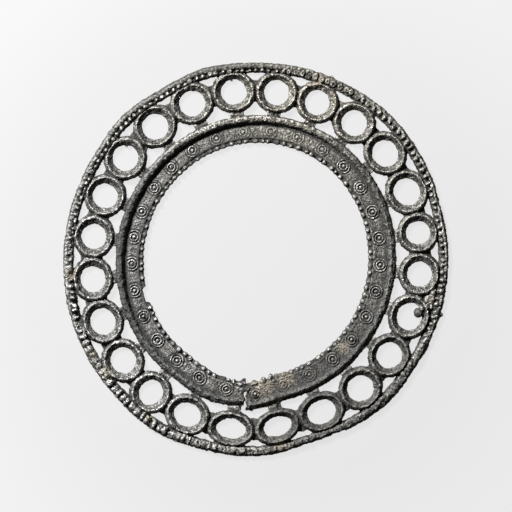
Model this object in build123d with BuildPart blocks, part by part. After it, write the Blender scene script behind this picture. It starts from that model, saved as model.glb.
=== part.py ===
from build123d import *
import os
from math import cos, degrees, pi, radians, sin

os.makedirs("parts", exist_ok=True)

# A pierced round frame, cast in one pour of lead-tin alloy. From the outside in it has a pelleted rim,
# a ring of open ringlets, short bridges, a raised collar, a flat band of ring-dots and a pelleted
# border round a large opening. It lies on its flat back, which is z = 0, face up, and the centre of
# the opening is on the z axis. Turns are in degrees from +X towards +Y.

# Plan sizes, in mm. Radii are means, because the frame is a little out of round.
frame_radius = 39.0
rim_width = 2.05
opening_radius = 22.85  # to the pellets' inner sides
opening_border_width = 1.05
band_width = 2.7
collar_width = 1.85
bridge_length = 0.6
ringlet_wall = 1.65  # across the ring of ringlets
ringlet_side_wall = 1.95  # along it
ringlet_overlap = 0.25  # of two neighbours, at the level of the plate
ringlet_in_rim = 0.5
joint_radius = 2.2  # of the metal that fills the corners between two ringlets
bridge_width = 2.6

# Heights over the back, in mm
plate_height = 1.0
ringlet_height = 1.7
collar_height = 2.1
rim_border_height = 1.65
rim_pellet_height = 1.8
opening_pellet_height = 1.5
ring_dot_height = 1.22
band_line_height = 1.18

# Relief, in mm
ringlet_crest_width = 0.3
ringlet_foot_step = 0.35  # from the ringlet's outer wall in to the foot of its roof
ringlet_lip = 0.08  # flat edge round the hole, at the level of the plate
collar_crest_width = 0.55
collar_lean = 0.25  # of the collar's outer flank
collar_foot_step = 0.08
rim_border_width = 1.05
rim_border_crest = 0.4
rim_border_lean = 0.3
rim_border_step = 0.05  # from the outline in to the border's foot
rim_pellet_radius = 0.4
rim_pellet_pitch = 1.31
rim_pellet_bite = 0.15  # how far a rim pellet stands into the border
opening_pellet_radius = 0.5
pellet_step = 0.03  # from the plan of an opening pellet in to its dome
opening_pellet_pitch = 1.48
opening_scallop = 0.15  # how far those pellets stand out over the opening
band_line_width = 0.2
ring_dot_count = 29
ring_dot_radius = 1.3
ring_dot_line = 0.26
ring_dot_inner = 0.78
ring_dot_centre = 0.3

# Out of round: the long axis is this much over the mean radius, the short axis as much under it
stretch = 0.5
stretch_turn = 74

# Swells of the outline: middle and half-width in degrees, height as a share of the rim's width
rim_swells = [
    (15, 14, -0.18),
    (46, 15, 0.12),
    (106, 13, 0.26),
    (133, 14, 0.28),
    (239, 16, 0.24),
    (288, 18, -0.5),
    (314, 11, 0.16),
]

# The break through collar and band, and how far each end is bent out. The band is followed from
# the break round to the break, so turns run from 266 to 625. Heights are shares of the collar's width.
break_turn = 265.5
break_gap = 0.45
band_swells = [
    (break_turn + 0.5, 16, 0.74),
    (614, 20, 0.45),
]

# The two torn ends: place across the strip from the opening outwards, and how far the metal stands
# into the gap there, both as shares, of the strip's width and of the gap
torn_start = [(0.2, 0.3), (0.45, 0.45), (0.62, 0.1), (0.85, 0.2)]
torn_finish = [(0.15, 0.1), (0.38, 0.4), (0.6, -0.3), (0.8, 0.25)]

# Stretches of the opening's border that are lost: first turn, last turn, depth as a share of its width
lost_borders = [(552, 563, 0.85), (613, 626, 0.6)]

# The ringlets, anticlockwise from the right: share of an even pitch, share of the full depth between
# collar and rim, how far it sits further out as a share of that depth, and lean in degrees
ringlet_table = [
    (0.94, 1.0, 0, 0), (1.03, 1.03, 0.01, 0), (1.01, 1.0, 0, 0), (0.97, 1.0, 0, 0),
    (0.95, 1.0, 0, 0), (0.96, 1.0, -0.01, 0), (0.98, 1.0, 0.025, 0), (0.98, 1.0, 0.035, 0),
    (1.0, 1.0, 0.02, 0), (1.01, 1.0, 0.015, 0), (0.98, 1.0, 0, 0), (0.99, 1.0, 0, 0),
    (1.01, 1.0, 0, 0), (1.02, 1.0, -0.01, 0), (1.0, 1.0, 0, 0), (0.92, 1.0, 0.03, 0),
    (1.01, 1.03, 0, 0), (1.05, 0.94, 0, 0), (1.05, 0.9, -0.04, 13), (1.08, 1.0, 0.01, 0),
    (1.02, 1.0, 0.01, 0), (1.01, 1.0, 0, 0), (1.04, 1.0, 0, 0), (0.99, 1.0, 0.01, 0),
]
first_joint_turn = 2.3

first_ring_dot_turn = 269.7
ring_dot_creep = 0.9  # degrees by which the ring-dots run ahead of even spacing, then fall behind

# Stray metal: turn, radius from the frame's centre and radius of the lump, as shares of frame_radius
curl = (-18.1, 0.876, 0.0235)
web = (-12.5, 0.925, 0.03)
nubs = [(-16.8, 0.985, 0.011), (67.5, 1.006, 0.012), (110.3, 0.93, 0.009), (138.6, 0.886, 0.009)]

# Worked out from the sizes above
collar_radius = opening_radius + opening_border_width + band_width + collar_width
collar_foot = collar_radius - collar_width
band_floor_start = opening_radius + opening_border_width
full_turn = 360
turn_step = 15


# Share of a swell's height, from 1 at its middle to 0 at its half-width
def fade(off, spread):
    return (1 + cos(pi * off / spread)) / 2 if abs(off) < spread else 0


def out_of_round(turn):
    return stretch * cos(2 * radians(turn - stretch_turn))


# Radius of the rim at a depth in from the outline. Its inner edge follows half of each swell.
def rim_radius(depth, turn):
    swell = sum(
        share * rim_width * fade((turn - middle + 180) % full_turn - 180, spread)
        for middle, spread, share in rim_swells
    )
    return frame_radius - depth + out_of_round(turn) + swell * (1 - depth / rim_width / 2)


# Radius of a line of the band, whose mean radius is given, at a turn between the ends of the break
def band_radius(mean_radius, turn):
    swell = sum(share * collar_width * fade(turn - middle, spread) for middle, spread, share in band_swells)
    return mean_radius + out_of_round(turn) + swell


# Any turn, brought between the ends of the break
def along_band(turn):
    return (turn - break_turn) % full_turn + break_turn


def polar(radius, turn):
    return (radius * cos(radians(turn)), radius * sin(radians(turn)))


# A run of arcs from one turn to another, through the radius that a function gives for each turn
def arcs(radius_at, first, last):
    steps = round((last - first) / turn_step)
    for step in range(steps):
        start, middle, end = (first + (last - first) * (step + part) / steps for part in (0, 0.5, 1))
        ThreePointArc(*(polar(radius_at(turn), turn) for turn in (start, middle, end)))


def rim_outline(depth):
    arcs(lambda turn: rim_radius(depth, turn), 0, full_turn)


# First and last turn of a broken strip. Setback is how far each end stops short of the gap, in mm.
def strip_ends(setback):
    short = degrees((break_gap / 2 + setback) / collar_radius)
    return break_turn + short, break_turn + full_turn - short


# Outline of a strip of the band between two mean radii, with straight ends at the break
def strip_outline(inner, outer, setback):
    first, last = strip_ends(setback)
    for radius in (inner, outer):
        arcs(lambda turn: band_radius(radius, turn), first, last)
    for turn in (first, last):
        Line(polar(band_radius(inner, turn), turn), polar(band_radius(outer, turn), turn))


# A torn end across the strip, from the opening outwards. Side is -1 where smaller turns lie in the gap
# and 1 where larger turns do.
def torn_end(inner, outer, turn, side, table):
    points = []
    for across, into_gap in [(0, 0), *table, (1, 0)]:
        radius = inner + (outer - inner) * across
        points.append(polar(band_radius(radius, turn), turn + side * degrees(into_gap * break_gap / radius)))
    Polyline(*points)


# Outline of the whole strip of border, band and collar, with torn ends
def torn_outline():
    inner, outer = opening_radius + opening_scallop, collar_radius
    first, last = strip_ends(0)
    for radius in (inner, outer):
        arcs(lambda turn: band_radius(radius, turn), first, last)
    torn_end(inner, outer, first, -1, torn_start)
    torn_end(inner, outer, last, 1, torn_finish)


# A ridge on the plate that follows the band, from its foot at the plate to its narrower crest
def band_ridge(foot, crest, height, setback):
    with BuildPart() as ridge:
        with BuildSketch(Plane.XY.offset(plate_height)):
            with BuildLine():
                strip_outline(*foot, setback)
            make_face()
        with BuildSketch(Plane.XY.offset(height)):
            with BuildLine():
                strip_outline(*crest, setback)
            make_face()
        loft()
    return ridge.part


# The plain border along the outline, leaning in on both sides
def rim_border():
    with BuildPart() as border:
        with BuildSketch(Plane.XY.offset(plate_height)):
            with BuildLine():
                rim_outline(rim_border_step)
            make_face()
        with BuildSketch(Plane.XY.offset(rim_border_height)):
            with BuildLine():
                rim_outline(rim_border_lean)
            make_face()
        loft()
        with BuildSketch(Plane.XY.offset(plate_height)):
            with BuildLine():
                rim_outline(rim_border_width)
            make_face()
        with BuildSketch(Plane.XY.offset(rim_border_height)):
            with BuildLine():
                rim_outline(rim_border_lean + rim_border_crest)
            make_face()
        loft(mode=Mode.SUBTRACT)
    return border.part


# Where each ringlet sits: its turn, the radius of its middle, half its width along the ring, half its
# depth across it, and its lean
def ringlet_places():
    total = sum(row[0] for row in ringlet_table)
    turn = first_joint_turn
    places = []
    for span, depth, shift, lean in ringlet_table:
        wide = full_turn * span / total
        middle = turn + wide / 2
        outer_end = rim_radius(rim_width, middle) + ringlet_in_rim
        inner_end = band_radius(collar_radius, along_band(middle)) + bridge_length
        half_depth = (outer_end - inner_end) / 2 * depth
        radius = outer_end - half_depth + (outer_end - inner_end) * shift
        half_width = radius * sin(radians(wide / 2)) + ringlet_overlap
        places.append((middle, radius, half_width, half_depth, lean))
        turn += wide
    return places


# A ringlet's outline, or a line that follows it further in
def ringlet_oval(place, inset, mode=Mode.ADD):
    middle, radius, half_width, half_depth, lean = place
    with Locations(Location(polar(radius, middle), middle - 90 + lean)):
        return Ellipse(half_width - inset * ringlet_side_wall / ringlet_wall, half_depth - inset, mode=mode)


# A flat bar from inside the collar to inside the ringlet's wall
def bridge(place):
    middle, radius, half_width, half_depth, lean = place
    start = band_radius(collar_radius, along_band(middle)) - collar_width / 4
    end = radius - half_depth + ringlet_wall / 2
    with Locations(Location(polar((start + end) / 2, middle), middle)):
        return Rectangle(end - start, bridge_width, mode=Mode.PRIVATE)


# The corners where two neighbouring ringlets meet
def joint_places(places):
    joints = []
    for place, following in zip(places, places[1:] + places[:1]):
        radius = (place[1] + following[1]) / 2
        turn = place[0] + ((following[0] - place[0]) % full_turn) / 2
        joints.append(polar(radius, turn))
    return joints


# The roof-shaped relief of a ringlet: up from its outer foot to the crest, then down to the hole
def ringlet_roof(place):
    lip = ringlet_wall - ringlet_lip
    crest = (ringlet_foot_step + lip - ringlet_crest_width) / 2
    with BuildPart() as roof:
        with BuildSketch(Plane.XY.offset(plate_height)):
            ringlet_oval(place, ringlet_foot_step)
        with BuildSketch(Plane.XY.offset(ringlet_height)):
            ringlet_oval(place, crest)
        loft()
        with BuildSketch(Plane.XY.offset(plate_height)):
            ringlet_oval(place, lip)
        with BuildSketch(Plane.XY.offset(ringlet_height)):
            ringlet_oval(place, crest + ringlet_crest_width)
        loft(mode=Mode.SUBTRACT)
    return roof.part


# A pellet: an upright post with a round top, its foot inside the plate
def pellet(radius, height):
    foot = plate_height / 2
    with BuildPart() as bead:
        with BuildSketch(Plane.XZ):
            with BuildLine():
                dome = CenterArc((0, height - radius), radius, 0, 90)
                Polyline(dome @ 1, (0, foot), (radius, foot), dome @ 0)
            make_face()
        revolve(axis=Axis.Z)
    return bead.part


def on_rim(turn):
    depth = rim_border_width + rim_pellet_radius - rim_pellet_bite
    return polar(rim_radius(depth, turn), turn)


def on_band(mean_radius, turn):
    return polar(band_radius(mean_radius, along_band(turn)), turn)


# Evenly spaced turns at a pitch in mm on a circle
def even_turns(radius, pitch):
    count = round(2 * pi * radius / pitch)
    return [full_turn * step / count for step in range(count)]


def border_is_whole(turn):
    return not any(first < along_band(turn) < last for first, last, depth in lost_borders)


# The area that a lost stretch of border takes away, from inside the opening out to its depth
def lost_stretch(first, last, depth):
    inner = opening_radius - opening_border_width
    outer = opening_radius + opening_border_width * depth
    middle = (first + last) / 2
    Polygon(
        polar(band_radius(inner, first), first),
        polar(band_radius(outer, (first + middle) / 2), (first + middle) / 2),
        polar(band_radius(outer, middle), middle),
        polar(band_radius(outer, (middle + last) / 2), (middle + last) / 2),
        polar(band_radius(inner, last), last),
        mode=Mode.SUBTRACT,
    )


def lump(stray):
    turn, radius, size = stray
    with Locations(polar(radius * frame_radius, turn)):
        Circle(size * frame_radius)


places = ringlet_places()
roofs = [ringlet_roof(place) for place in places]
border = rim_border()
collar = band_ridge(
    (collar_foot + collar_foot_step, collar_radius - collar_foot_step),
    (collar_radius - collar_lean - collar_crest_width, collar_radius - collar_lean),
    collar_height,
    break_gap / 2,
)
line_middle = band_floor_start + band_line_width / 2
band_line = band_ridge(
    (band_floor_start, band_floor_start + band_line_width),
    (line_middle - band_line_width / 4, line_middle + band_line_width / 4),
    band_line_height,
    break_gap / 2,
)
rim_pellet = pellet(rim_pellet_radius, rim_pellet_height)
opening_pellet = pellet(opening_pellet_radius - pellet_step, opening_pellet_height)
curl_top = pellet(curl[2] * frame_radius - pellet_step, ringlet_height)
curl_top.position = polar(curl[1] * frame_radius, curl[0])

rim_pellet_seats = [
    on_rim(turn) for turn in even_turns(frame_radius - rim_border_width - rim_pellet_radius, rim_pellet_pitch)
]
opening_pellet_seats = [
    on_band(opening_radius + opening_pellet_radius, turn)
    for turn in even_turns(opening_radius + opening_pellet_radius, opening_pellet_pitch)
    if border_is_whole(turn)
]
ring_dot_seats = []
for index in range(ring_dot_count):
    share = index / ring_dot_count
    turn = first_ring_dot_turn + full_turn * share + ring_dot_creep * sin(2 * pi * share)
    ring_dot_seats.append(on_band(collar_foot - ring_dot_radius, turn))

with BuildPart() as openwork_frame:
    with BuildSketch():
        with BuildLine():
            rim_outline(0)
        make_face()
        with BuildLine():
            rim_outline(rim_width)
        make_face(mode=Mode.SUBTRACT)
        with BuildLine():
            torn_outline()
        make_face()
        for first, last, depth in lost_borders:
            lost_stretch(first, last, depth)
        add([ringlet_oval(place, 0, Mode.PRIVATE) for place in places])
        add([bridge(place) for place in places])
        with Locations(*joint_places(places)):
            Circle(joint_radius)
        lump(web)
        add([ringlet_oval(place, ringlet_wall, Mode.PRIVATE) for place in places], mode=Mode.SUBTRACT)
        with Locations(*opening_pellet_seats):
            Circle(opening_pellet_radius)
        for stray in [curl, *nubs]:
            lump(stray)
    extrude(amount=plate_height)
    with BuildSketch(Plane.XY.offset(plate_height)):
        with Locations(*ring_dot_seats):
            Circle(ring_dot_radius)
            Circle(ring_dot_radius - ring_dot_line, mode=Mode.SUBTRACT)
            Circle(ring_dot_inner)
            Circle(ring_dot_inner - ring_dot_line, mode=Mode.SUBTRACT)
            Circle(ring_dot_centre)
    extrude(amount=ring_dot_height - plate_height)
    add([*roofs, border, collar, band_line, curl_top])
    with Locations(*rim_pellet_seats):
        add(rim_pellet)
    with Locations(*opening_pellet_seats):
        add(opening_pellet)

openwork_frame.part.label = "openwork_frame"
export_step(openwork_frame.part, "parts/openwork_frame.step")
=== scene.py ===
import bmesh
import bpy
import numpy as np
from mathutils import Matrix, Vector


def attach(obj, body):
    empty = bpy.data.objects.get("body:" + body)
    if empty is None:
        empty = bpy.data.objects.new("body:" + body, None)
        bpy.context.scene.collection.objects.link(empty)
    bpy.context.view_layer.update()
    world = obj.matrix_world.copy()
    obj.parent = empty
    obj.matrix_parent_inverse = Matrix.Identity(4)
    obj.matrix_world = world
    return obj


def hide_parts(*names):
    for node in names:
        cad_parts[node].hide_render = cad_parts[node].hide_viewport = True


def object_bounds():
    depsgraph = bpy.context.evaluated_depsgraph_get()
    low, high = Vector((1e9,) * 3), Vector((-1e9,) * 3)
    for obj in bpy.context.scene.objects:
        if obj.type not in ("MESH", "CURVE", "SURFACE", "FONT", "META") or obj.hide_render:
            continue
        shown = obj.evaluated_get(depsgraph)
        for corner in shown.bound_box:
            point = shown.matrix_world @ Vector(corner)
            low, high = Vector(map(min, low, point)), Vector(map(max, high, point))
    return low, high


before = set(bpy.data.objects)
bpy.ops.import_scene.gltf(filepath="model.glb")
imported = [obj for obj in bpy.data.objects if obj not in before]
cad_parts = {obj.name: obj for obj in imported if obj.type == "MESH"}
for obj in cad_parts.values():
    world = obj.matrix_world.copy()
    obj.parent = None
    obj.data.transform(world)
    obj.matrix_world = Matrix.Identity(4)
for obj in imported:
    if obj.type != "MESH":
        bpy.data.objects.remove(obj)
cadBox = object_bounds()
mm = 0.001
print("frame loaded")

# The photograph shows 102.4 mm across, straight from above, with its middle 0.7 mm above the frame's.
view = {
    "lens": 200.0,
    "sensor": 36.0,
    "width": 102.4,
    "middleY": 0.7,
    "level": 1.0,  # the plate's face, where the width is measured
    "clip": (0.01, 20.0),
    "pixelsPerMm": 5.0,
    "middlePixel": (255.5, 259.0),
}


def makeCamera(values):
    lens = bpy.data.cameras.new("photoCamera")
    lens.lens = values["lens"]
    lens.sensor_width = values["sensor"]
    lens.clip_start, lens.clip_end = values["clip"]
    camera = bpy.data.objects.new("photoCamera", lens)
    bpy.context.scene.collection.objects.link(camera)
    distance = values["width"] * values["lens"] / values["sensor"]
    camera.location = (0.0, values["middleY"] * mm, (values["level"] + distance) * mm)
    bpy.context.scene.camera = camera


def fromPhoto(column, row):
    # millimetres from the middle of the frame for a pixel of the photograph
    middleColumn, middleRow = view["middlePixel"]
    return (column - middleColumn) / view["pixelsPerMm"], (middleRow - row) / view["pixelsPerMm"]


makeCamera(view)
print("camera made")

# The frame's plan as it was laid out, in mm: middle and half-width of each swell in degrees, and its
# height as a share of the rim's width, or for the band as a share of the collar's width
plan = {
    "rimRadius": 39.0,
    "rimWidth": 2.05,
    "stretch": 0.5,
    "stretchTurn": 74.0,
    "rimSwells": [(15, 14, -0.18), (46, 15, 0.12), (106, 13, 0.26), (133, 14, 0.28),
                  (239, 16, 0.24), (288, 18, -0.5), (314, 11, 0.16)],
    "openingRadius": 22.85,
    "collarFoot": 26.6,
    "collarRadius": 28.45,
    "collarWidth": 1.85,
    "breakTurn": 265.5,
    "bandSwells": [(266, 16, 0.74), (614, 20, 0.45)],
    "plate": 1.0,
}


def turnAndRadius(points):
    turns = np.degrees(np.arctan2(points[:, 1], points[:, 0])) % 360.0
    return turns, np.hypot(points[:, 0], points[:, 1])


def signedTurn(turns):
    # the same turn as a value from -180 to 180 degrees
    return (turns + 180.0) % 360.0 - 180.0


def alongTable(turns, table, column=1):
    rows = np.array(table, dtype=float)
    return np.interp(turns, rows[:, 0], rows[:, column])


def step(values, low, high):
    share = np.clip((values - low) / (high - low), 0.0, 1.0)
    return share * share * (3.0 - 2.0 * share)


def swellAt(turns, swells, width):
    rise = np.zeros_like(turns)
    for middle, spread, share in swells:
        off = turns - middle
        hump = np.where(np.abs(off) < spread, (1.0 + np.cos(np.pi * off / spread)) / 2.0, 0.0)
        rise += hump * share * width
    return rise


def outOfRound(turns):
    return plan["stretch"] * np.cos(2 * np.radians(turns - plan["stretchTurn"]))


def rimRadius(depth, turns):
    swell = swellAt(turns, plan["rimSwells"], plan["rimWidth"])
    return plan["rimRadius"] - depth + outOfRound(turns) + swell * (1.0 - depth / plan["rimWidth"] / 2.0)


def bandRadius(mean, turns):
    along = (turns - plan["breakTurn"]) % 360.0 + plan["breakTurn"]
    return mean + outOfRound(turns) + swellAt(along, plan["bandSwells"], plan["collarWidth"])


def rimDepth(turns, radii):
    # depth in from the outline, in mm
    swell = swellAt(turns, plan["rimSwells"], plan["rimWidth"])
    edge = plan["rimRadius"] + outOfRound(turns) + swell
    return (edge - radii) / (1.0 + swell / plan["rimWidth"] / 2.0)


# The ringlets. A row for each, anticlockwise from the right: share of an even pitch, share of the full
# depth between collar and rim, how far it sits further out as a share of that depth, and lean in degrees.
# Profiles run from the hole (0) to the outline (1) and give the height over the back, in mm. A dirt
# table gives how much blacker (or, below zero, cleaner) the metal is at each turn.
ringlets = {
    "firstTurn": 2.3,
    "wall": 1.65,
    "sideWall": 1.95,
    "overlap": 0.25,
    "inRim": 0.5,
    "bridgeLength": 0.6,
    "bridgeWidth": 2.6,
    "bridgeBite": 0.3,
    "bridgeTop": 0.95,
    "fillTop": 0.6,
    "nearBy": 6.0,
    "outline": 1.05,
    "fromRim": (1.6, 2.0),
    "fromCollar": (-0.1, 0.15),
    "lumpRise": (0.05, 0.25),
    "footTops": (0.55, 0.9),
    "footShadeAndDirt": 0.7,
    "strayShare": -0.12,
    "strayDirt": 0.4,
    "dirt": [(0, -0.08), (15, -0.12), (45, 0.0), (75, -0.16), (105, -0.06), (135, 0.12), (165, -0.06),
             (195, 0.0), (225, -0.14), (255, 0.04), (285, 0.05), (315, -0.1), (345, -0.1), (360, -0.08)],
    "crestShare": 0.62,
    "crestWidth": 0.08,
    "crestPolishAndHighlight": 0.05,
    "web": {"middle": (431, 301), "reach": 8.5, "fade": (0.7, 1.3), "top": 1.4},
    "castProfile": [(0.0, 1.0), (0.05, 1.0), (0.327, 1.7), (0.509, 1.7), (0.788, 1.0), (1.0, 1.0)],
    "wornProfile": [(-0.1, 0.62), (0.0, 0.7), (0.2, 1.02), (0.42, 1.42), (0.56, 1.7), (0.62, 1.74),
                    (0.7, 1.6), (0.82, 1.2), (0.92, 0.8), (1.0, 0.5)],
    "rows": [
        (0.94, 1.0, 0, 0), (1.03, 1.03, 0.01, 0), (1.01, 1.0, 0, 0), (0.97, 1.0, 0, 0),
        (0.95, 1.0, 0, 0), (0.96, 1.0, -0.01, 0), (0.98, 1.0, 0.025, 0), (0.98, 1.0, 0.035, 0),
        (1.0, 1.0, 0.02, 0), (1.01, 1.0, 0.015, 0), (0.98, 1.0, 0, 0), (0.99, 1.0, 0, 0),
        (1.01, 1.0, 0, 0), (1.02, 1.0, -0.01, 0), (1.0, 1.0, 0, 0), (0.92, 1.0, 0.03, 0),
        (1.01, 1.03, 0, 0), (1.05, 0.94, 0, 0), (1.05, 0.9, -0.04, 13), (1.08, 1.0, 0.01, 0),
        (1.02, 1.0, 0.01, 0), (1.01, 1.0, 0, 0), (1.04, 1.0, 0, 0), (0.99, 1.0, 0.01, 0),
    ],
}


def ringletPlaces(values):
    # turn and radius of each middle, half its width along the ring, half its depth across it, lean
    total = sum(row[0] for row in values["rows"])
    turn = values["firstTurn"]
    places = []
    for span, depth, shift, lean in values["rows"]:
        wide = 360.0 * span / total
        middle = np.array([turn + wide / 2.0])
        outerEnd = rimRadius(plan["rimWidth"], middle % 360.0)[0] + values["inRim"]
        innerEnd = bandRadius(plan["collarRadius"], middle % 360.0)[0] + values["bridgeLength"]
        halfDepth = (outerEnd - innerEnd) / 2.0 * depth
        radius = outerEnd - halfDepth + (outerEnd - innerEnd) * shift
        halfWidth = radius * np.sin(np.radians(wide / 2.0)) + values["overlap"]
        places.append((middle[0], radius, halfWidth, halfDepth, lean))
        turn += wide
    return places


def ovalRadius(along, across, halfWidth, halfDepth):
    # radius of an oval in the direction of each point
    length = np.maximum(np.hypot(along, across), 1e-6)
    return length, 1.0 / np.hypot(along / length / halfWidth, across / length / halfDepth)


def wearRinglets(points, turns, radii, depth, grimeAndShade):
    # each ringlet's flat outer foot becomes a flank that runs down to its outline
    values = ringlets
    wasTop = np.full(len(points), plan["plate"])
    nowTop = np.full(len(points), values["fillTop"])
    crest = np.zeros(len(points))
    stray = np.zeros(len(points), dtype=bool)
    for middle, radius, halfWidth, halfDepth, lean in ringletPlaces(values):
        outward = np.radians(middle + lean)
        offX = points[:, 0] - radius * np.cos(np.radians(middle))
        offY = points[:, 1] - radius * np.sin(np.radians(middle))
        near = np.flatnonzero(offX * offX + offY * offY < values["nearBy"] ** 2)
        across = offX[near] * np.cos(outward) + offY[near] * np.sin(outward)
        along = offX[near] * np.sin(outward) - offY[near] * np.cos(outward)
        length, outer = ovalRadius(along, across, halfWidth, halfDepth)
        hole = ovalRadius(along, across, halfWidth - values["sideWall"], halfDepth - values["wall"])[1]
        share = (length - hole) / (outer - hole)
        inside = share < values["outline"]
        stray[near] |= share < values["strayShare"]
        cast = np.where(inside, alongTable(share, values["castProfile"]), 0.0)
        worn = np.where(inside, alongTable(share, values["wornProfile"]), 0.0)
        bridge = (np.abs(along) < values["bridgeWidth"] / 2.0) & (across < values["bridgeBite"] - halfDepth)
        worn = np.maximum(worn, np.where(bridge, values["bridgeTop"], 0.0))
        fromCrest = (share - values["crestShare"]) / values["crestWidth"]
        crest[near] = np.maximum(crest[near], np.exp(-fromCrest ** 2))
        wasTop[near] = np.maximum(wasTop[near], cast)
        nowTop[near] = np.maximum(nowTop[near], worn)
    web = values["web"]
    webX, webY = fromPhoto(*web["middle"])
    away = np.hypot(points[:, 0] - webX, points[:, 1] - webY) * view["pixelsPerMm"] / web["reach"]
    nowTop = np.maximum(nowTop, web["top"] * (1.0 - step(away, *web["fade"])))
    collarSide = radii - bandRadius(plan["collarRadius"], turns)
    weight = step(depth, *values["fromRim"]) * step(collarSide, *values["fromCollar"]) * (1.0 - stray)
    weight *= 1.0 - step(points[:, 2] - wasTop, *values["lumpRise"])  # lumps of stray metal stay
    points[:, 2] *= 1.0 + weight * (nowTop / wasTop - 1.0)
    # the low foot where neighbours meet is darkened: painted shade in the V-grooves along with dirt
    foot = weight * (1.0 - step(nowTop, *values["footTops"]))
    # the crest line is lightened: wear along with a painted highlight
    grimeAndShade += foot * values["footShadeAndDirt"] - weight * crest * values["crestPolishAndHighlight"]
    grimeAndShade += values["strayDirt"] * stray + weight * alongTable(turns, values["dirt"])


# The rim. A row for each turn in degrees: width and height of its plain border, then of its beads the
# depth of their middles, half their size across the rim and along it and the height of their tops, and
# last how far in the outer edge is rounded, all in mm. Some beads are pitted and stand in a moat.
rim = {
    "foot": 0.95,
    "beadCount": 180,
    "ridgePower": 2.6,
    "ribCount": 290,
    "ribLean": 1.5,
    "ribWander": 31.0,
    "ribs": [(0, 0.05), (70, 0.03), (95, 0.05), (170, 0.07), (200, 0.03), (250, 0.05), (360, 0.05)],
    "dirt": [(0, -0.2), (20, -0.15), (40, 0.06), (60, 0.0), (75, 0.12), (90, 0.34), (160, 0.26), (185, 0.0),
             (215, -0.2), (235, -0.2), (255, 0.0), (320, 0.0), (335, -0.15), (360, -0.2)],
    "outside": -0.3,
    "gapShadeAndDirt": 0.65,
    "gapDepth": 0.7,
    "gapTops": (0.85, 1.15),
    "pitDepth": 0.6,
    "pitReach": 0.5,
    "moatDepth": 0.25,
    "moatReach": 1.2,
    "moatWidth": 0.22,
    "moatBelow": 0.3,
    "moatShadeAndDirt": 0.6,
    "beadPolish": 0.25,
    "polished": (0.5, 0.75),
    "edgeLow": 0.55,
    "edgeRise": 0.45,
    "rounded": (-0.1, 1.0),
    "innerDrop": 0.3,
    "innerEdge": (1.75, 2.05),
    "faceDepth": 2.02,
    "faceLevel": 0.85,
    "wallDepth": 0.5,
    "jitter": 0.12,
    "jitterAcross": 0.6,
    "seed": 5,
    "mess": [(0, 1.3), (50, 1.0), (150, 1.0), (168, 2.2), (200, 2.2), (212, 1.6), (245, 1.6), (270, 1.0),
             (360, 1.3)],
    "pitted": [(0, 0.0), (50, 0.0), (60, 1.0), (76, 1.0), (82, 0.0), (360, 0.0)],
    "columns": ("turn", "width", "height", "beadDepth", "halfAcross", "halfAlong", "beadTop", "rounding"),
    "rows": [
        (0, 0.9, 1.36, 1.22, 0.62, 0.46, 1.62, 0.55),
        (20, 0.85, 1.36, 1.2, 0.64, 0.46, 1.64, 0.55),
        (50, 0.85, 1.25, 1.15, 0.66, 0.5, 1.68, 0.6),
        (60, 1.9, 1.25, 1.1, 0.6, 0.56, 1.7, 0.4),
        (76, 1.9, 1.3, 1.15, 0.6, 0.56, 1.68, 0.35),
        (84, 1.3, 1.5, 1.45, 0.4, 0.4, 1.55, 0.35),
        (92, 1.3, 1.62, 1.55, 0.38, 0.4, 1.66, 0.35),
        (110, 1.15, 1.45, 1.5, 0.44, 0.47, 1.75, 0.5),
        (150, 1.1, 1.42, 1.48, 0.46, 0.48, 1.8, 0.5),
        (170, 1.3, 1.35, 1.35, 0.5, 0.5, 1.6, 0.4),
        (194, 1.2, 1.3, 1.25, 0.6, 0.5, 1.52, 0.35),
        (206, 1.0, 1.15, 1.0, 0.98, 0.64, 1.72, 0.4),
        (238, 1.0, 1.15, 1.0, 0.98, 0.64, 1.72, 0.6),
        (250, 1.9, 1.42, 1.15, 0.75, 0.66, 1.56, 0.8),
        (300, 1.9, 1.42, 1.2, 0.72, 0.68, 1.5, 0.8),
        (330, 1.7, 1.4, 1.25, 0.6, 0.55, 1.55, 0.7),
        (343, 1.0, 1.3, 1.25, 0.58, 0.46, 1.6, 0.65),
        (360, 0.9, 1.36, 1.22, 0.62, 0.46, 1.62, 0.55),
    ],
}


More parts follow.
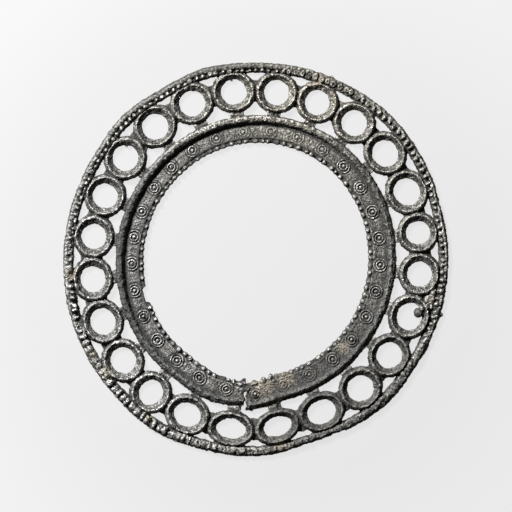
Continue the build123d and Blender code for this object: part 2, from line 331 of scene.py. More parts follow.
def wearRim(points, turns, depth, grimeAndShade):
    # the rim's face is laid anew: a border of changing width and beads of changing form
    values = rim

    def rimAt(places, name):
        return alongTable(places, values["rows"], values["columns"].index(name))

    chance = np.random.default_rng(values["seed"])
    count = values["beadCount"]
    slip = chance.normal(0.0, values["jitter"], (count, 4))
    pitch = 360.0 / count
    width = rimAt(turns, "width")
    off = np.abs(depth - width / 2.0) / (width / 2.0)
    ridge = np.clip(1.0 - np.clip(off, 0.0, 1.0) ** values["ridgePower"], 0.0, 1.0) ** 0.5
    top = values["foot"] + (rimAt(turns, "height") - values["foot"]) * ridge
    lean = np.radians(turns * values["ribCount"]) + depth * values["ribLean"]
    lean += np.sin(np.radians(turns * values["ribWander"]))
    top += ridge * alongTable(turns, values["ribs"]) * np.cos(lean)
    bead = np.zeros(len(points))
    pits = np.zeros(len(points))
    moats = np.zeros(len(points))
    for side in (-1, 0, 1):
        index = (np.floor(turns / pitch + 0.5).astype(int) + side) % count
        home = index * pitch
        move = slip[index] * alongTable(home, values["mess"])[:, None]
        along = signedTurn(turns - home) * np.pi / 180.0 * plan["rimRadius"] - move[:, 0]
        across = depth - rimAt(home, "beadDepth") - move[:, 1] * values["jitterAcross"]
        halfAcross = rimAt(home, "halfAcross") * (1.0 + move[:, 2])
        halfAlong = rimAt(home, "halfAlong") * (1.0 + move[:, 3])
        crown = rimAt(home, "beadTop") + move[:, 2] - values["foot"]
        away = np.hypot(along / halfAlong, across / halfAcross)
        pitted = alongTable(home, values["pitted"])
        moat = (away - values["moatReach"]) / values["moatWidth"]
        pits = np.maximum(pits, pitted * np.exp(-(away / values["pitReach"]) ** 2))
        moats = np.maximum(moats, pitted * np.exp(-moat ** 2))
        bead = np.maximum(bead, crown * np.clip(1.0 - away ** 2, 0.0, 1.0) ** 0.5)
    top = np.maximum(top, values["foot"] + bead) - values["pitDepth"] * pits
    moats *= bead < values["moatBelow"]
    top -= values["moatDepth"] * moats
    rounded = step(depth / rimAt(turns, "rounding"), *values["rounded"])
    top *= values["edgeLow"] + values["edgeRise"] * rounded
    top *= 1.0 - values["innerDrop"] * step(depth, *values["innerEdge"])
    high = points[:, 2] > values["faceLevel"]
    face = (depth < values["faceDepth"]) & high
    wall = (depth < values["wallDepth"]) & ~high
    points[:, 2] = np.where(face, top, points[:, 2])
    points[:, 2] = np.where(wall, points[:, 2] * np.minimum(top, 1.0), points[:, 2])
    # the gaps between beads, the pits and the moats are darkened: painted shade in these recesses along
    # with dirt
    gap = values["gapShadeAndDirt"] * (1.0 - step(top, *values["gapTops"]))
    polish = values["beadPolish"] * step(bead, *values["polished"])
    grimeAndShade += np.where(face & (depth > values["gapDepth"]), gap, 0.0)
    grimeAndShade += np.where(depth < width, alongTable(turns, values["dirt"]), 0.0) * (depth > values["outside"])
    grimeAndShade += np.where(face, pits + values["moatShadeAndDirt"] * moats - polish, 0.0)


# The collar. Its height over the back across it, in mm out from its foot: with the crevice of the left
# and top, and with the long inner slope of the right and bottom. Crevice gives the share of the first.
collar = {
    "reach": (-0.45, 1.95),
    "faceLevel": 0.9,
    "innerFlank": 0.8,
    "creviceTops": (0.8, 1.4),
    "outerFlank": 0.9,
    "flankTops": (0.6, 1.4),
    "flankShade": 0.7,
    "creviced": [(-0.45, 1.0), (-0.15, 0.78), (0.15, 0.8), (0.4, 1.35), (0.6, 1.8), (0.8, 2.0),
                 (1.5, 2.05), (1.72, 1.5), (1.85, 0.9)],
    "sloped": [(-0.45, 1.0), (0.0, 1.1), (0.4, 1.32), (0.75, 1.5), (0.95, 1.46), (1.2, 1.2),
               (1.5, 0.85), (1.85, 0.55)],
    "dirt": [(0, 0.18), (40, 0.32), (65, 0.15), (90, -0.05), (112, -0.1), (140, 0.32), (165, 0.6),
             (205, 0.58), (225, 0.4), (255, 0.4), (268, 0.1), (285, 0.02), (315, 0.1), (345, 0.18),
             (360, 0.18)],
    "crevice": [(0, 0.3), (30, 0.4), (42, 0.7), (55, 0.9), (75, 0.95), (100, 1.0), (198, 1.0), (212, 0.45),
                (235, 0.3), (252, 0.2), (268, 0.05), (300, 0.1), (360, 0.3)],
}


def wearCollar(points, turns, radii, grimeAndShade):
    values = collar
    start, end = values["reach"]
    out = radii - bandRadius(plan["collarFoot"], turns)
    share = alongTable(turns, values["crevice"])
    top = share * alongTable(out, values["creviced"]) + (1.0 - share) * alongTable(out, values["sloped"])
    face = (out > start) & (out < end) & (points[:, 2] > values["faceLevel"])
    points[:, 2] = np.where(face, top, points[:, 2])
    # the crevice of the left and top is darkened: painted shade along with dirt
    crevice = share * (1.0 - step(top, *values["creviceTops"]))
    # the outer flank of the right and bottom, turned from the lamp, is darkened: painted shade
    flank = (1.0 - share) * (1.0 - step(top, *values["flankTops"])) * values["flankShade"]
    grimeAndShade += np.where(face & (out < values["innerFlank"]), crevice, 0.0)
    grimeAndShade += np.where(face & (out > values["outerFlank"]), flank, 0.0)
    grimeAndShade += np.where(face, alongTable(turns, values["dirt"]), 0.0)


# The band's marks and the opening's border: the ring-dots' profile out from their middle, how much of
# their relief is left at each turn, how the border's foot and its pellets' relief are worn, and how far
# the pellets have slipped along it, in mm
band = {
    "faceLevel": 0.9,
    "raisedLevel": 1.02,
    "dotsFrom": 1.3,
    "dotsMargin": 0.02,
    "dirtFrom": 1.0,
    "dirtLevel": 0.8,
    "borderWidth": 0.98,
    "lineEnd": 1.4,
    "ringDots": {
        "count": 29,
        "firstTurn": 269.7,
        "creep": 0.9,
        "seat": 1.3,
        "grimeAndShade": 0.85,
        "polish": 0.3,
        "reach": 1.7,
        "outerReach": 1.55,
        "grooves": (-0.12, 0.02),
        "circles": (0.08, 0.22),
        "profile": [(0.0, 1.32), (0.18, 1.26), (0.38, 0.86), (0.56, 0.86), (0.66, 1.14), (0.78, 1.24),
                    (0.92, 0.9), (1.08, 0.86), (1.18, 1.12), (1.29, 1.2), (1.42, 0.92), (1.55, 0.9),
                    (1.7, 1.0)],
    },
    "ringDotKeep": [(0, 1.1), (45, 1.1), (62, 0.4), (100, 0.3), (125, 0.9), (180, 1.2), (255, 1.1),
                    (275, 0.55), (292, 0.6), (310, 1.0), (360, 1.1)],
    "pelletKeep": [(0, 0.9), (60, 1.1), (100, 1.1), (130, 1.2), (190, 1.3), (235, 1.0), (262, 0.7),
                   (300, 0.85), (330, 0.85), (360, 0.9)],
    "pelletCount": 99,
    "pelletRange": (0.2, 1.6),
    "pelletTops": (1.1, 1.35),
    "pelletPolish": 0.35,
    "gapTops": (0.82, 1.15),
    "pelletFoot": [(0, 0.8), (50, 0.78), (75, 0.76), (150, 0.74), (210, 0.74), (240, 0.8), (360, 0.8)],
    "pelletJitter": 0.25,
    "dirt": [(0, 0.16), (40, 0.18), (75, 0.02), (105, 0.22), (140, 0.05), (195, 0.14), (235, 0.0),
             (268, 0.2), (280, 0.5), (325, 0.42), (345, 0.16), (360, 0.16)],
    "borderDirt": [(0, 0.05), (30, 0.2), (65, 0.55), (88, 0.9), (118, 1.1), (130, 0.75), (150, 0.8),
                   (180, 0.8), (205, 0.5), (218, 0.0), (360, 0.0)],
    "borderShare": 0.3,
    "footStart": (0.55, 0.9),
    "footEnd": (1.15, 1.4),
    "footLevel": 0.75,
    "pelletSlip": 0.22,
    "slipFade": (0.8, 1.2),
    "lineKeep": 0.6,
    "seed": 9,
}


def layRingDots(points, turns, radii, keep, grimeAndShade):
    # each ring-dot's circles are laid anew, with grooves below the band's face darkened: painted shade in
    # the grooves along with dirt
    values = band["ringDots"]
    share = ((turns - values["firstTurn"]) % 360.0) / 360.0
    nearest = np.round(share * values["count"]) / values["count"]
    home = values["firstTurn"] + 360.0 * nearest + values["creep"] * np.sin(2.0 * np.pi * nearest)
    around = np.radians(signedTurn(turns - home)) * radii
    outward = radii - (bandRadius(plan["collarFoot"], turns) - values["seat"])
    away = np.hypot(around, outward)
    face = (away < values["reach"]) & (outward < values["outerReach"]) & (points[:, 2] > band["faceLevel"])
    relief = (alongTable(away, values["profile"]) - plan["plate"]) * keep
    points[:, 2] = np.where(face, plan["plate"] + relief, points[:, 2])
    low = 1.0 - step(relief, *values["grooves"])
    high = step(relief, *values["circles"])
    marked = values["grimeAndShade"] * low - values["polish"] * high
    grimeAndShade += np.where(face, marked * np.minimum(keep, 1.0), 0.0)


def wearBand(points, turns, radii, grimeAndShade):
    values = band
    plate = plan["plate"]
    out = radii - bandRadius(plan["openingRadius"], turns)
    raised = points[:, 2] > values["raisedLevel"]
    fromCollar = bandRadius(plan["collarFoot"], turns) - values["dotsMargin"] - radii
    dots = (out > values["dotsFrom"]) & (fromCollar > 0.0) & raised
    keep = alongTable(turns, values["ringDotKeep"])
    points[:, 2] = np.where(dots, plate + (points[:, 2] - plate) * keep, points[:, 2])
    layRingDots(points, turns, radii, keep, grimeAndShade)
    dirty = (out > values["dirtFrom"]) & (points[:, 2] > values["dirtLevel"])
    grimeAndShade += np.where(dirty, alongTable(turns, values["dirt"]), 0.0)
    count = values["pelletCount"]
    chance = np.random.default_rng(values["seed"])
    relief = np.clip(chance.normal(1.0, values["pelletJitter"], count), *values["pelletRange"])
    slip = chance.normal(0.0, values["pelletSlip"], count + 1)
    slip[count] = slip[0]
    place = turns * count / 360.0
    index = np.floor(place + 0.5).astype(int) % count
    border = (out < values["borderWidth"]) & (points[:, 2] > values["faceLevel"])
    worn = np.maximum(points[:, 2] - plate, 0.0) * relief[index] * alongTable(turns, values["pelletKeep"])
    points[:, 2] = np.where(border, alongTable(turns, values["pelletFoot"]) + worn, points[:, 2])
    line = (out > values["borderWidth"]) & (out < values["lineEnd"]) & raised
    points[:, 2] = np.where(line, plate + (points[:, 2] - plate) * values["lineKeep"], points[:, 2])
    # the low gaps between the border's pellets are darkened: painted shade along with dirt
    grimeAndShade += np.where(border, 1.0 - step(points[:, 2], *values["gapTops"]), 0.0)
    grimeAndShade -= np.where(border, values["pelletPolish"] * step(points[:, 2], *values["pelletTops"]), 0.0)
    foot = step(out, *values["footStart"]) * (1.0 - step(out, *values["footEnd"]))
    foot *= points[:, 2] > values["footLevel"]
    grimeAndShade += (values["borderShare"] * border + foot) * alongTable(turns, values["borderDirt"])
    along = np.interp(place, np.arange(count + 1), slip) * (1.0 - step(out, *values["slipFade"]))
    around = np.radians(turns)
    points[:, 0] -= along * np.sin(around)
    points[:, 1] += along * np.cos(around)


# The broken right end, the black of the broken edges, and the hairline crack. Columns and rows are the
# photograph's pixels; a wave is its share of the raggedness and its pace in radians for each mm.
damage = {
    "topLevel": 0.6,
    "endColumn": 245.5,
    "endRows": (384, 412),
    "gapColumn": 243.7,
    "endReach": 1.0,
    "raggedness": 0.3,
    "evenShare": 0.5,
    "waves": [(0.3, 5.1), (0.2, 11.3)],
    "chipped": (0.1, 0.5),
    "chipShare": 0.4,
    "chipDarkening": 0.8,
    "blackPlace": (244.5, 396),
    "blackShape": (1.6, 0.45),
    "blackFade": 0.5,
    "blackDarkening": 0.9,
    "crack": ((371.5, 386.5), (382.5, 388.5)),
    "crackWidth": 0.14,
    "crackDepth": 0.45,
}


def wearDamage(points, grimeAndShade):
    values = damage
    endX, top = fromPhoto(values["endColumn"], values["endRows"][0])
    gapX, bottom = fromPhoto(values["gapColumn"], values["endRows"][1])
    onEnd = (points[:, 1] < top) & (points[:, 1] > bottom) & (points[:, 0] > gapX)
    ragged = np.full(len(points), values["evenShare"])
    for share, pace in values["waves"]:
        ragged += share * np.sin(points[:, 1] * pace)
    near = np.where(onEnd, 1.0 - step(points[:, 0], endX, endX + values["endReach"]), 0.0)
    inner, outer = (endX + off for off in values["chipped"])
    onTop = points[:, 2] > values["topLevel"]
    edge = np.where(onEnd & onTop, 1.0 - step(points[:, 0], inner, outer), 0.0)
    points[:, 0] += values["raggedness"] * ragged * near
    points[:, 2] -= values["chipShare"] * edge * (points[:, 2] - values["topLevel"])
    # the chipped top edge is made darker
    grimeAndShade += values["chipDarkening"] * edge
    start, end = (np.array(fromPhoto(*place)) for place in values["crack"])
    along = np.clip((points[:, :2] - start) @ (end - start) / np.sum((end - start) ** 2), 0.0, 1.0)
    away = np.hypot(*(points[:, :2] - start - along[:, None] * (end - start)).T)
    groove = np.exp(-(away / values["crackWidth"]) ** 2) * (points[:, 2] > values["topLevel"])
    points[:, 2] -= values["crackDepth"] * groove
    # the crack's groove is darkened as well: painted shade in the crack along with dirt
    grimeAndShade += groove


# a dark patch laid along the break
def breakDarkening(points):
    x, y = fromPhoto(*damage["blackPlace"])
    wide, high = damage["blackShape"]
    away = np.hypot((points[:, 0] - x) * wide, (points[:, 1] - y) * high)
    return damage["blackDarkening"] * np.exp(-away * away / damage["blackFade"])


# How rough the casting is, as a share of the full depth of grain and crust, with a table for the turns
# of the rim. The ringlets and above all the band are calmer. Fades are in mm, the break's in degrees.
roughness = {
    "rim": [(0, 0.9), (60, 1.1), (75, 1.0), (90, 0.9), (165, 0.9), (180, 1.2), (300, 1.2), (360, 0.9)],
    "rimFade": (2.4, 1.8),
    "ringlets": 0.8,
    "collar": 1.1,
    "collarFade": (-0.1, 0.3),
    "band": 0.34,
    "bandMargin": 0.3,
    "bandFade": (-0.2, 0.2),
    "breakEnd": 1.0,
    "breakShift": 3.0,
    "breakFade": (9.0, 3.0),
    "most": 1.2,
    "levels": 20,
}


def roughShare(turns, radii):
    values = roughness
    calm = values["ringlets"]
    inward = bandRadius(plan["collarFoot"], turns) + values["bandMargin"] - radii
    outward = radii - bandRadius(plan["collarRadius"], turns)
    onBand = step(inward, *values["bandFade"])
    onRim = step(rimDepth(turns, radii), *values["rimFade"])
    onCollar = (1.0 - onBand) * (1.0 - step(outward, *values["collarFade"]))
    share = calm + (values["band"] - calm) * onBand
    share += (alongTable(turns, values["rim"]) - calm) * onRim
    share += (values["collar"] - calm) * onCollar
    fromBreak = signedTurn(turns - plan["breakTurn"] - values["breakShift"])
    nearBreak = step(np.abs(fromBreak), *values["breakFade"])
    return share + (values["breakEnd"] - share) * nearBreak * onBand


# Lumps of stray metal: column and row of the photograph, height of the middle and radius, in mm
lumps = [
    (228, 380, 1.1, 0.5), (233.5, 380.5, 1.1, 0.5), (239.5, 383, 1.0, 0.55), (239.5, 402.5, 1.2, 0.7),
    (247.5, 389, 1.1, 0.6), (246.5, 395, 0.95, 0.4), (247.5, 401, 1.0, 0.5), (250.5, 408, 0.9, 0.6),
    (255, 382, 0.95, 0.55), (262, 379, 0.95, 0.55), (270, 375.5, 0.95, 0.5), (418, 312, 1.1, 0.8),
    (421.5, 307.5, 1.05, 0.75), (425.5, 306, 0.9, 0.9), (433, 292, 0.8, 0.8), (434, 310, 0.75, 0.8),
    (193.3, 89.5, 0.8, 0.3), (231, 79.5, 0.8, 0.3), (126, 145.5, 0.8, 0.3), (331, 78, 1.0, 0.45),
    (441, 314, 0.9, 0.4),
]
lumpSeat = 0.02  # mm of air left under the lowest lumps, so that none reaches past the back


def addLumps(work):
    for column, row, height, radius in lumps:
        x, y = fromPhoto(column, row)
        place = Matrix.Translation((x, y, max(height, radius + lumpSeat)))
        bmesh.ops.create_icosphere(work, subdivisions=2, radius=radius, matrix=place)


# Tan soil left in the hollows: column, row and half-width in the photograph, in pixels
soil = [
    (72, 272, 7), (105, 372, 8), (150, 415, 7), (280, 447, 8), (433, 299, 5), (343, 347, 7),
    (318, 82, 10), (262, 385, 12), (285, 378, 10), (338, 96, 8), (92, 352, 7),
]

# Pale crust: column, row and half-width in the photograph, in pixels
crust = [
    (256, 386, 5), (264, 384, 4), (273, 379, 4), (283, 375, 5), (293, 372, 4), (300, 371, 3),
    (264, 398, 4), (280, 398, 5), (116, 273, 4), (287, 443, 5), (104, 369, 5), (73, 269, 5),
    (338, 344, 5), (331, 349, 4), (322, 88, 4), (403, 296, 5),
]

# How warm the metal's grey is along the turn, as a share
warmth = [(0, 0.35), (40, 0.5), (75, 1.0), (105, 0.6), (140, 0.15), (200, 0.0), (245, 0.0),
          (270, 0.4), (290, 0.35), (330, 0.3), (360, 0.35)]


def patchesAt(points, places):
    amount = np.zeros(len(points))
    for column, row, spreadWidth in places:
        x, y = fromPhoto(column, row)
        away = np.hypot(points[:, 0] - x, points[:, 1] - y) * view["pixelsPerMm"] / spreadWidth
        amount = np.maximum(amount, np.exp(-away * away))
    return amount


# The casting is worked in millimetres and brought to metres at the end. Grain and crust roughen its
# surface, the swell bends it gently, and the hollows tell the metal where to darken: painted shade along
# with dirt.
casting = {
    "mergeWithin": 2e-7,  # metres
    "voxel": 0.11,
    "quickVoxel": 0.2,
    "smoothShare": 0.5,
    "smoothTurns": 1,
    "grain": {"size": 0.32, "depth": 0.26, "detail": 1},
    "crust": {"size": 0.9, "depth": 0.55, "detail": 2},
    "swell": {"size": 2.4, "depth": 0.25, "detail": 2},
    "grimeAndShadeRange": (-0.6, 1.0),
    "fineHollow": 0.03,
    "wideHollow": 0.15,
    "wideTurns": 14,
    "triangles": 194000,
    "quickTriangles": 110000,
}


def copyOfNode(name):
    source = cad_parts[name]
    work = bmesh.new()
    work.from_mesh(source.data)
    bmesh.ops.remove_doubles(work, verts=work.verts, dist=casting["mergeWithin"])
    bmesh.ops.scale(work, vec=Vector((1.0, 1.0, 1.0)) / mm, verts=work.verts)
    return work


def addDisplacement(piece, name, values, group=""):
    pattern = bpy.data.textures.new(name, "CLOUDS")
    pattern.noise_scale = values["size"]
    pattern.noise_depth = values["detail"]
    press = piece.modifiers.new(name, "DISPLACE")
    press.texture = pattern
    press.texture_coords = "LOCAL"
    press.strength = values["depth"]
    press.mid_level = 0.5
    press.vertex_group = group


def applied(piece):
    # the mesh with every modifier worked in
    graph = bpy.context.evaluated_depsgraph_get()
    mesh = bpy.data.meshes.new_from_object(piece.evaluated_get(graph))
    piece.modifiers.clear()
    old = piece.data
    piece.data = mesh
    bpy.data.meshes.remove(old)
    return mesh


def readPoints(mesh):
    points = np.empty(len(mesh.vertices) * 3)
    mesh.vertices.foreach_get("co", points)
    return points.reshape(-1, 3)


def writePoints(mesh, points):
    mesh.vertices.foreach_set("co", points.astype(np.float32).ravel())
    mesh.update()


def readNormals(mesh):
    normals = np.empty(len(mesh.vertices) * 3)
    mesh.vertex_normals.foreach_get("vector", normals)
    return normals.reshape(-1, 3)


def neighbourMean(mesh, values, turns=1):
    # each vertex's value taken from the mean of its neighbours, a number of times
    ends = np.empty(len(mesh.edges) * 2, dtype=np.int64)
    mesh.edges.foreach_get("vertices", ends)
    first, second = ends.reshape(-1, 2).T
    both = np.concatenate([first, second])
    other = np.concatenate([second, first])
    count = np.maximum(np.bincount(both, minlength=len(values)), 1)
    for _ in range(turns):
        columns = [np.bincount(both, weights=column[other], minlength=len(values)) / count
                   for column in values.reshape(len(values), -1).T]
        values = np.stack(columns, axis=1).reshape(values.shape)
    return values


def addGroup(piece, name, weights, most, levels):
    # a vertex group in even steps of weight, the last of them for `most`
    group = piece.vertex_groups.new(name=name)
    steps = np.round(np.clip(weights / most, 0.0, 1.0) * levels).astype(int)
    for level in range(1, levels + 1):
        group.add(np.flatnonzero(steps == level).tolist(), level / levels, "REPLACE")


def addAttribute(mesh, name, values):
    layer = mesh.attributes.new(name, "FLOAT", "POINT")
    layer.data.foreach_set("value", values.astype(np.float32))


def makeCasting(values):
    work = copyOfNode("openwork_frame")
    addLumps(work)
    mesh = bpy.data.meshes.new("badgeFrame")
    work.to_mesh(mesh)
    work.free()
    piece = bpy.data.objects.new("badgeFrame", mesh)
    bpy.context.scene.collection.objects.link(piece)
    skin = piece.modifiers.new("skin", "REMESH")
    skin.mode = "VOXEL"
    skin.voxel_size = values["voxel"]
    wear = piece.modifiers.new("wear", "SMOOTH")
    wear.factor = values["smoothShare"]
    wear.iterations = values["smoothTurns"]
    mesh = applied(piece)
    print("casting skinned:", len(mesh.polygons), "faces")

    points = readPoints(mesh)
    turns, radii = turnAndRadius(points)
    depth = rimDepth(turns, radii)
    grimeAndShade = np.zeros(len(points))
    wearRinglets(points, turns, radii, depth, grimeAndShade)
    wearRim(points, turns, depth, grimeAndShade)
    wearCollar(points, turns, radii, grimeAndShade)
    wearBand(points, turns, radii, grimeAndShade)
    wearDamage(points, grimeAndShade)
    grimeAndShade += breakDarkening(points)
    writePoints(mesh, points)
    addGroup(piece, "rough", roughShare(turns, radii), roughness["most"], roughness["levels"])
    addDisplacement(piece, "grain", values["grain"], "rough")
    addDisplacement(piece, "crust", values["crust"], "rough")
    mesh = applied(piece)
    print("casting worn")

    points = readPoints(mesh)
    # this mask darkens creases, gaps, crevices and grooves, painted shade along with dirt, and where below
    # zero lightens worn tops and a painted highlight on the ringlets' crests
    addAttribute(mesh, "grimeAndShade", np.clip(neighbourMean(mesh, grimeAndShade), *values["grimeAndShadeRange"]))
    addAttribute(mesh, "soil", patchesAt(points, soil))
    addAttribute(mesh, "crust", patchesAt(points, crust))
    addAttribute(mesh, "warmth", alongTable(turnAndRadius(points)[0], warmth))
    # the fine and wide hollows measure how sunken each point is; the metal darkens them as painted shade
    # along with dirt
    normals = readNormals(mesh)
    fine = np.sum((neighbourMean(mesh, points) - points) * normals, axis=1)
    wide = np.sum((neighbourMean(mesh, points, values["wideTurns"]) - points) * normals, axis=1)
    addAttribute(mesh, "fineHollow", np.clip(neighbourMean(mesh, fine) / values["fineHollow"], -1.0, 1.0))
    addAttribute(mesh, "wideHollow", np.clip(wide / values["wideHollow"], -1.0, 1.0))

    thin = piece.modifiers.new("thin", "DECIMATE")
    target = values["triangles"]
    thin.ratio = min(1.0, target / (2 * len(mesh.polygons)))
    addDisplacement(piece, "swell", values["swell"])
    mesh = applied(piece)
    mesh.validate()  # the thinning can leave a doubled face
    mesh.name = "badgeFrame"
    print("casting thinned:", len(mesh.polygons), "faces")
    points = readPoints(mesh)
    points = np.clip(points, np.array(cadBox[0]) / mm, np.array(cadBox[1]) / mm)
    writePoints(mesh, points * mm)
    for face in mesh.polygons:
        face.use_smooth = True
    return piece


badgeFrame = makeCasting(casting)
print("casting made")

# The metal's colours, then its noises as scale, detail and roughness, and the ranges that turn noise,
# hollows and the grime-and-shade mask into worn tips, dirt with painted shade, pits, soil and crust
metal = {
    # deep is the black of dirt and of painted shade in hollows, gaps and crevices
    "deep": (0.022, 0.022, 0.021, 1.0),
    "body": (0.105, 0.103, 0.1, 1.0),
    "worn": (0.33, 0.322, 0.309, 1.0),
    "earth": (0.23, 0.2, 0.15, 1.0),
    "olive": (0.102, 0.101, 0.092, 1.0),
    "pit": (0.03, 0.029, 0.028, 1.0),
    "pale": (0.48, 0.465, 0.41, 1.0),
    "warmTint": (1.04, 1.0, 0.9, 1.0),
    "patches": (450.0, 4.0, 0.55),
    "tarnish": (900.0, 3.0, 0.55),
    "leather": (1400.0, 2.0, 0.6),
    "grain": (2300.0, 2.0, 0.65),
    "specks": (4200.0, 1.0, 0.6),
    "tipShare": 0.9,
    "tipRange": (0.68, 1.7),
    "patchDirt": 0.4,
    "grimeAndShadeDarkening": 1.1,
    "darkeningRange": (0.25, 1.0),
    "tarnishRange": (0.4, 0.6),
    "pitRange": (0.45, 0.3),
    "finePitRange": (0.44, 0.3),
    "earthGrain": (0.35, 0.65),
    "earthRange": (0.1, 0.8),
    "paleGrain": (0.42, 0.6),
    "paleRange": (0.3, 0.85),
    "metallic": 0.6,
    "dullness": (0.3, 0.7, 0.44, 0.6),
    "tipPolish": 0.08,
    "grimeAndShadeDullness": 0.25,
    "bumpDepth": 0.26,
    "speckBump": 0.4,
}


def makeMetal(values):
    material = bpy.data.materials.new("corrodedLeadTin")
    material.use_nodes = True
    tree = material.node_tree
    nodes, links = tree.nodes, tree.links
    nodes.clear()
    out = nodes.new("ShaderNodeOutputMaterial")
    shader = nodes.new("ShaderNodeBsdfPrincipled")
    links.new(shader.outputs["BSDF"], out.inputs["Surface"])
    place = nodes.new("ShaderNodeTexCoord")

    def cloud(scale, detail, roughness):
        noise = nodes.new("ShaderNodeTexNoise")
        noise.inputs["Scale"].default_value = scale
        noise.inputs["Detail"].default_value = detail
        noise.inputs["Roughness"].default_value = roughness
        links.new(place.outputs["Object"], noise.inputs["Vector"])
        return noise.outputs["Fac"]

    def spread(value, low, high, toLow=0.0, toHigh=1.0):
        node = nodes.new("ShaderNodeMapRange")
        node.inputs["From Min"].default_value = low
        node.inputs["From Max"].default_value = high
        node.inputs["To Min"].default_value = toLow
        node.inputs["To Max"].default_value = toHigh
        links.new(value, node.inputs["Value"])
        return node.outputs["Result"]

    def maths(kind, first, second):
        node = nodes.new("ShaderNodeMath")
        node.operation = kind
        for socket, value in zip(node.inputs, (first, second)):
            if isinstance(value, (int, float)):
                socket.default_value = value
            else:
                links.new(value, socket)
        return node.outputs["Value"]

    def blend(share, first, second, kind="MIX"):
        node = nodes.new("ShaderNodeMix")
        node.data_type = "RGBA"
        node.blend_type = kind
        links.new(share, node.inputs["Factor"])
        for socket, value in ((node.inputs["A"], first), (node.inputs["B"], second)):
            if isinstance(value, tuple):
                socket.default_value = value
            else:
                links.new(value, socket)
        return node.outputs["Result"]

    def masked(name):
        node = nodes.new("ShaderNodeAttribute")
        node.attribute_name = name
        return node.outputs["Fac"]

    patches = cloud(*values["patches"])
    leather = cloud(*values["leather"])
    grain = cloud(*values["grain"])
    specks = cloud(*values["specks"])
    grimeAndShade = masked("grimeAndShade")
    hollows = maths("ADD", maths("ADD", masked("fineHollow"), masked("wideHollow")), grimeAndShade)
    clearOfGrimeAndShade = maths("MINIMUM", maths("SUBTRACT", 1.0, grimeAndShade), 1.0)
    # worn tips are light
    noisy = maths("MULTIPLY", maths("ADD", grain, specks), values["tipShare"])
    tips = maths("MULTIPLY", spread(maths("SUBTRACT", noisy, hollows), *values["tipRange"]), clearOfGrimeAndShade)
    tarnish = spread(cloud(*values["tarnish"]), *values["tarnishRange"])
    base = blend(tarnish, values["body"], values["olive"])
    light = blend(tips, base, values["worn"])
    # pits are dark, and hollows are darkened as painted shade along with dirt
    pitted = blend(spread(leather, *values["pitRange"]), light, values["pit"])
    speckled = blend(spread(grain, *values["finePitRange"]), pitted, values["pit"])
    hollowShadeAndDirt = maths("ADD", hollows, maths("MULTIPLY", patches, values["patchDirt"]))
    grimeAndShadeDark = maths("MULTIPLY", grimeAndShade, values["grimeAndShadeDarkening"])
    dark = blend(spread(maths("MAXIMUM", hollowShadeAndDirt, grimeAndShadeDark), *values["darkeningRange"]), speckled, values["deep"])
    tinted = blend(masked("warmth"), dark, values["warmTint"], "MULTIPLY")
    # soil and crust lie on top
    soiled = maths("MULTIPLY", masked("soil"), spread(grain, *values["earthGrain"]))
    earthy = blend(spread(soiled, *values["earthRange"]), tinted, values["earth"])
    bare = maths("MULTIPLY", masked("crust"), clearOfGrimeAndShade)
    crusted = maths("MULTIPLY", bare, spread(grain, *values["paleGrain"]))
    colour = blend(spread(crusted, *values["paleRange"]), earthy, values["pale"])
    links.new(colour, shader.inputs["Base Color"])
    links.new(maths("MULTIPLY", clearOfGrimeAndShade, values["metallic"]), shader.inputs["Metallic"])
    polished = maths("MULTIPLY", tips, values["tipPolish"])
    dirty = maths("MULTIPLY", maths("MAXIMUM", grimeAndShade, 0.0), values["grimeAndShadeDullness"])
    dull = maths("SUBTRACT", spread(patches, *values["dullness"]), polished)
    links.new(maths("ADD", dull, dirty), shader.inputs["Roughness"])
    bump = nodes.new("ShaderNodeBump")
    bump.inputs["Strength"].default_value = 1.0
    bump.inputs["Distance"].default_value = values["bumpDepth"] * mm
    relief = maths("ADD", maths("ADD", leather, grain), maths("MULTIPLY", specks, values["speckBump"]))
    links.new(relief, bump.inputs["Height"])
    links.new(bump.outputs["Normal"], shader.inputs["Normal"])
    return material


badgeFrame.data.materials.clear()
badgeFrame.data.materials.append(makeMetal(metal))
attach(badgeFrame, "root")
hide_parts("openwork_frame")
print("metal given")

# The studio: a milk-glass floor that glows evenly but for a slight slope, painted light falling off from
# the lamp's side, and a darker ring round the badge, a painted shadow; a faint sky, and one soft lamp at
# the upper left. Places and the painted shadow's reach are in mm.
studio = {
    "floorWidth": 3.0,  # metres
    "floorLevel": -0.02,
    "floorColour": (0.033, 0.033, 0.033, 1.0),
    "floorRoughness": 0.9,
    "floorSpecular": 0.1,
    "glowColour": (1.0, 1.0, 1.0, 1.0),
    "floorGlow": 0.804,
    "paintedLampSlope": (-0.41, 0.34, 0.0),
    "paintedShadowDepth": 0.048,
    "paintedShadowReach": (45.0, 68.0),
    "skyColour": (0.97, 0.985, 1.0, 1.0),
    "skyPower": 0.06,
    "lampPlace": (-260.0, 300.0, 330.0),
    "lampWidth": 110.0,
    "lampPower": 9.0,
}


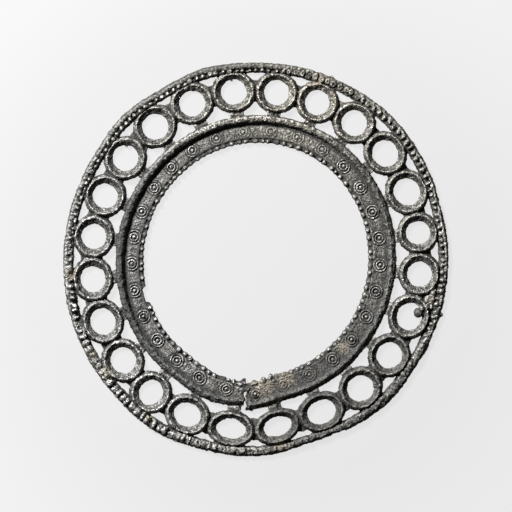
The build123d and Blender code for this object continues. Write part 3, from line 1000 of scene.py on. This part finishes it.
def makeStudio(values):
    work = bmesh.new()
    bmesh.ops.create_grid(work, x_segments=1, y_segments=1, size=values["floorWidth"] / 2)
    bmesh.ops.translate(work, vec=(0.0, 0.0, values["floorLevel"] * mm), verts=work.verts)
    mesh = bpy.data.meshes.new("paleFloor")
    work.to_mesh(mesh)
    work.free()
    floor = bpy.data.objects.new("paleFloor", mesh)
    bpy.context.scene.collection.objects.link(floor)
    paint = bpy.data.materials.new("milkGlass")
    paint.use_nodes = True
    shader = paint.node_tree.nodes["Principled BSDF"]
    shader.inputs["Base Color"].default_value = values["floorColour"]
    shader.inputs["Roughness"].default_value = values["floorRoughness"]
    shader.inputs["Specular IOR Level"].default_value = values["floorSpecular"]
    shader.inputs["Emission Color"].default_value = values["glowColour"]
    nodes, links = paint.node_tree.nodes, paint.node_tree.links
    place = nodes.new("ShaderNodeTexCoord")
    # the glow is brighter towards the lamp, a painted falloff of its light, and dimmer round the badge, a
    # painted shadow
    slope = nodes.new("ShaderNodeVectorMath")
    slope.operation = "DOT_PRODUCT"
    slope.inputs[1].default_value = values["paintedLampSlope"]
    reach = nodes.new("ShaderNodeVectorMath")
    reach.operation = "LENGTH"
    near, far = values["paintedShadowReach"]
    paintedShadow = nodes.new("ShaderNodeMapRange")
    paintedShadow.inputs["From Min"].default_value = near * mm
    paintedShadow.inputs["From Max"].default_value = far * mm
    paintedShadow.inputs["To Min"].default_value = values["floorGlow"] - values["paintedShadowDepth"]
    paintedShadow.inputs["To Max"].default_value = values["floorGlow"]
    glow = nodes.new("ShaderNodeMath")
    links.new(place.outputs["Object"], slope.inputs[0])
    links.new(place.outputs["Object"], reach.inputs[0])
    links.new(reach.outputs["Value"], paintedShadow.inputs["Value"])
    links.new(slope.outputs["Value"], glow.inputs[0])
    links.new(paintedShadow.outputs["Result"], glow.inputs[1])
    links.new(glow.outputs["Value"], shader.inputs["Emission Strength"])
    mesh.materials.append(paint)
    floor.visible_diffuse = False
    floor.visible_glossy = False

    world = bpy.data.worlds.new("studioSky")
    world.use_nodes = True
    sky = world.node_tree.nodes["Background"]
    sky.inputs["Color"].default_value = values["skyColour"]
    sky.inputs["Strength"].default_value = values["skyPower"]
    bpy.context.scene.world = world

    lamp = bpy.data.lights.new("softBox", "AREA")
    lamp.shape = "SQUARE"
    lamp.size = values["lampWidth"] * mm
    lamp.energy = values["lampPower"]
    box = bpy.data.objects.new("softBox", lamp)
    box.location = Vector(values["lampPlace"]) * mm
    box.rotation_mode = "QUATERNION"
    box.rotation_quaternion = box.location.to_track_quat("Z", "Y")
    box.visible_camera = False
    bpy.context.scene.collection.objects.link(box)
    bpy.context.scene.view_settings.view_transform = "Standard"


makeStudio(studio)
print("studio made")
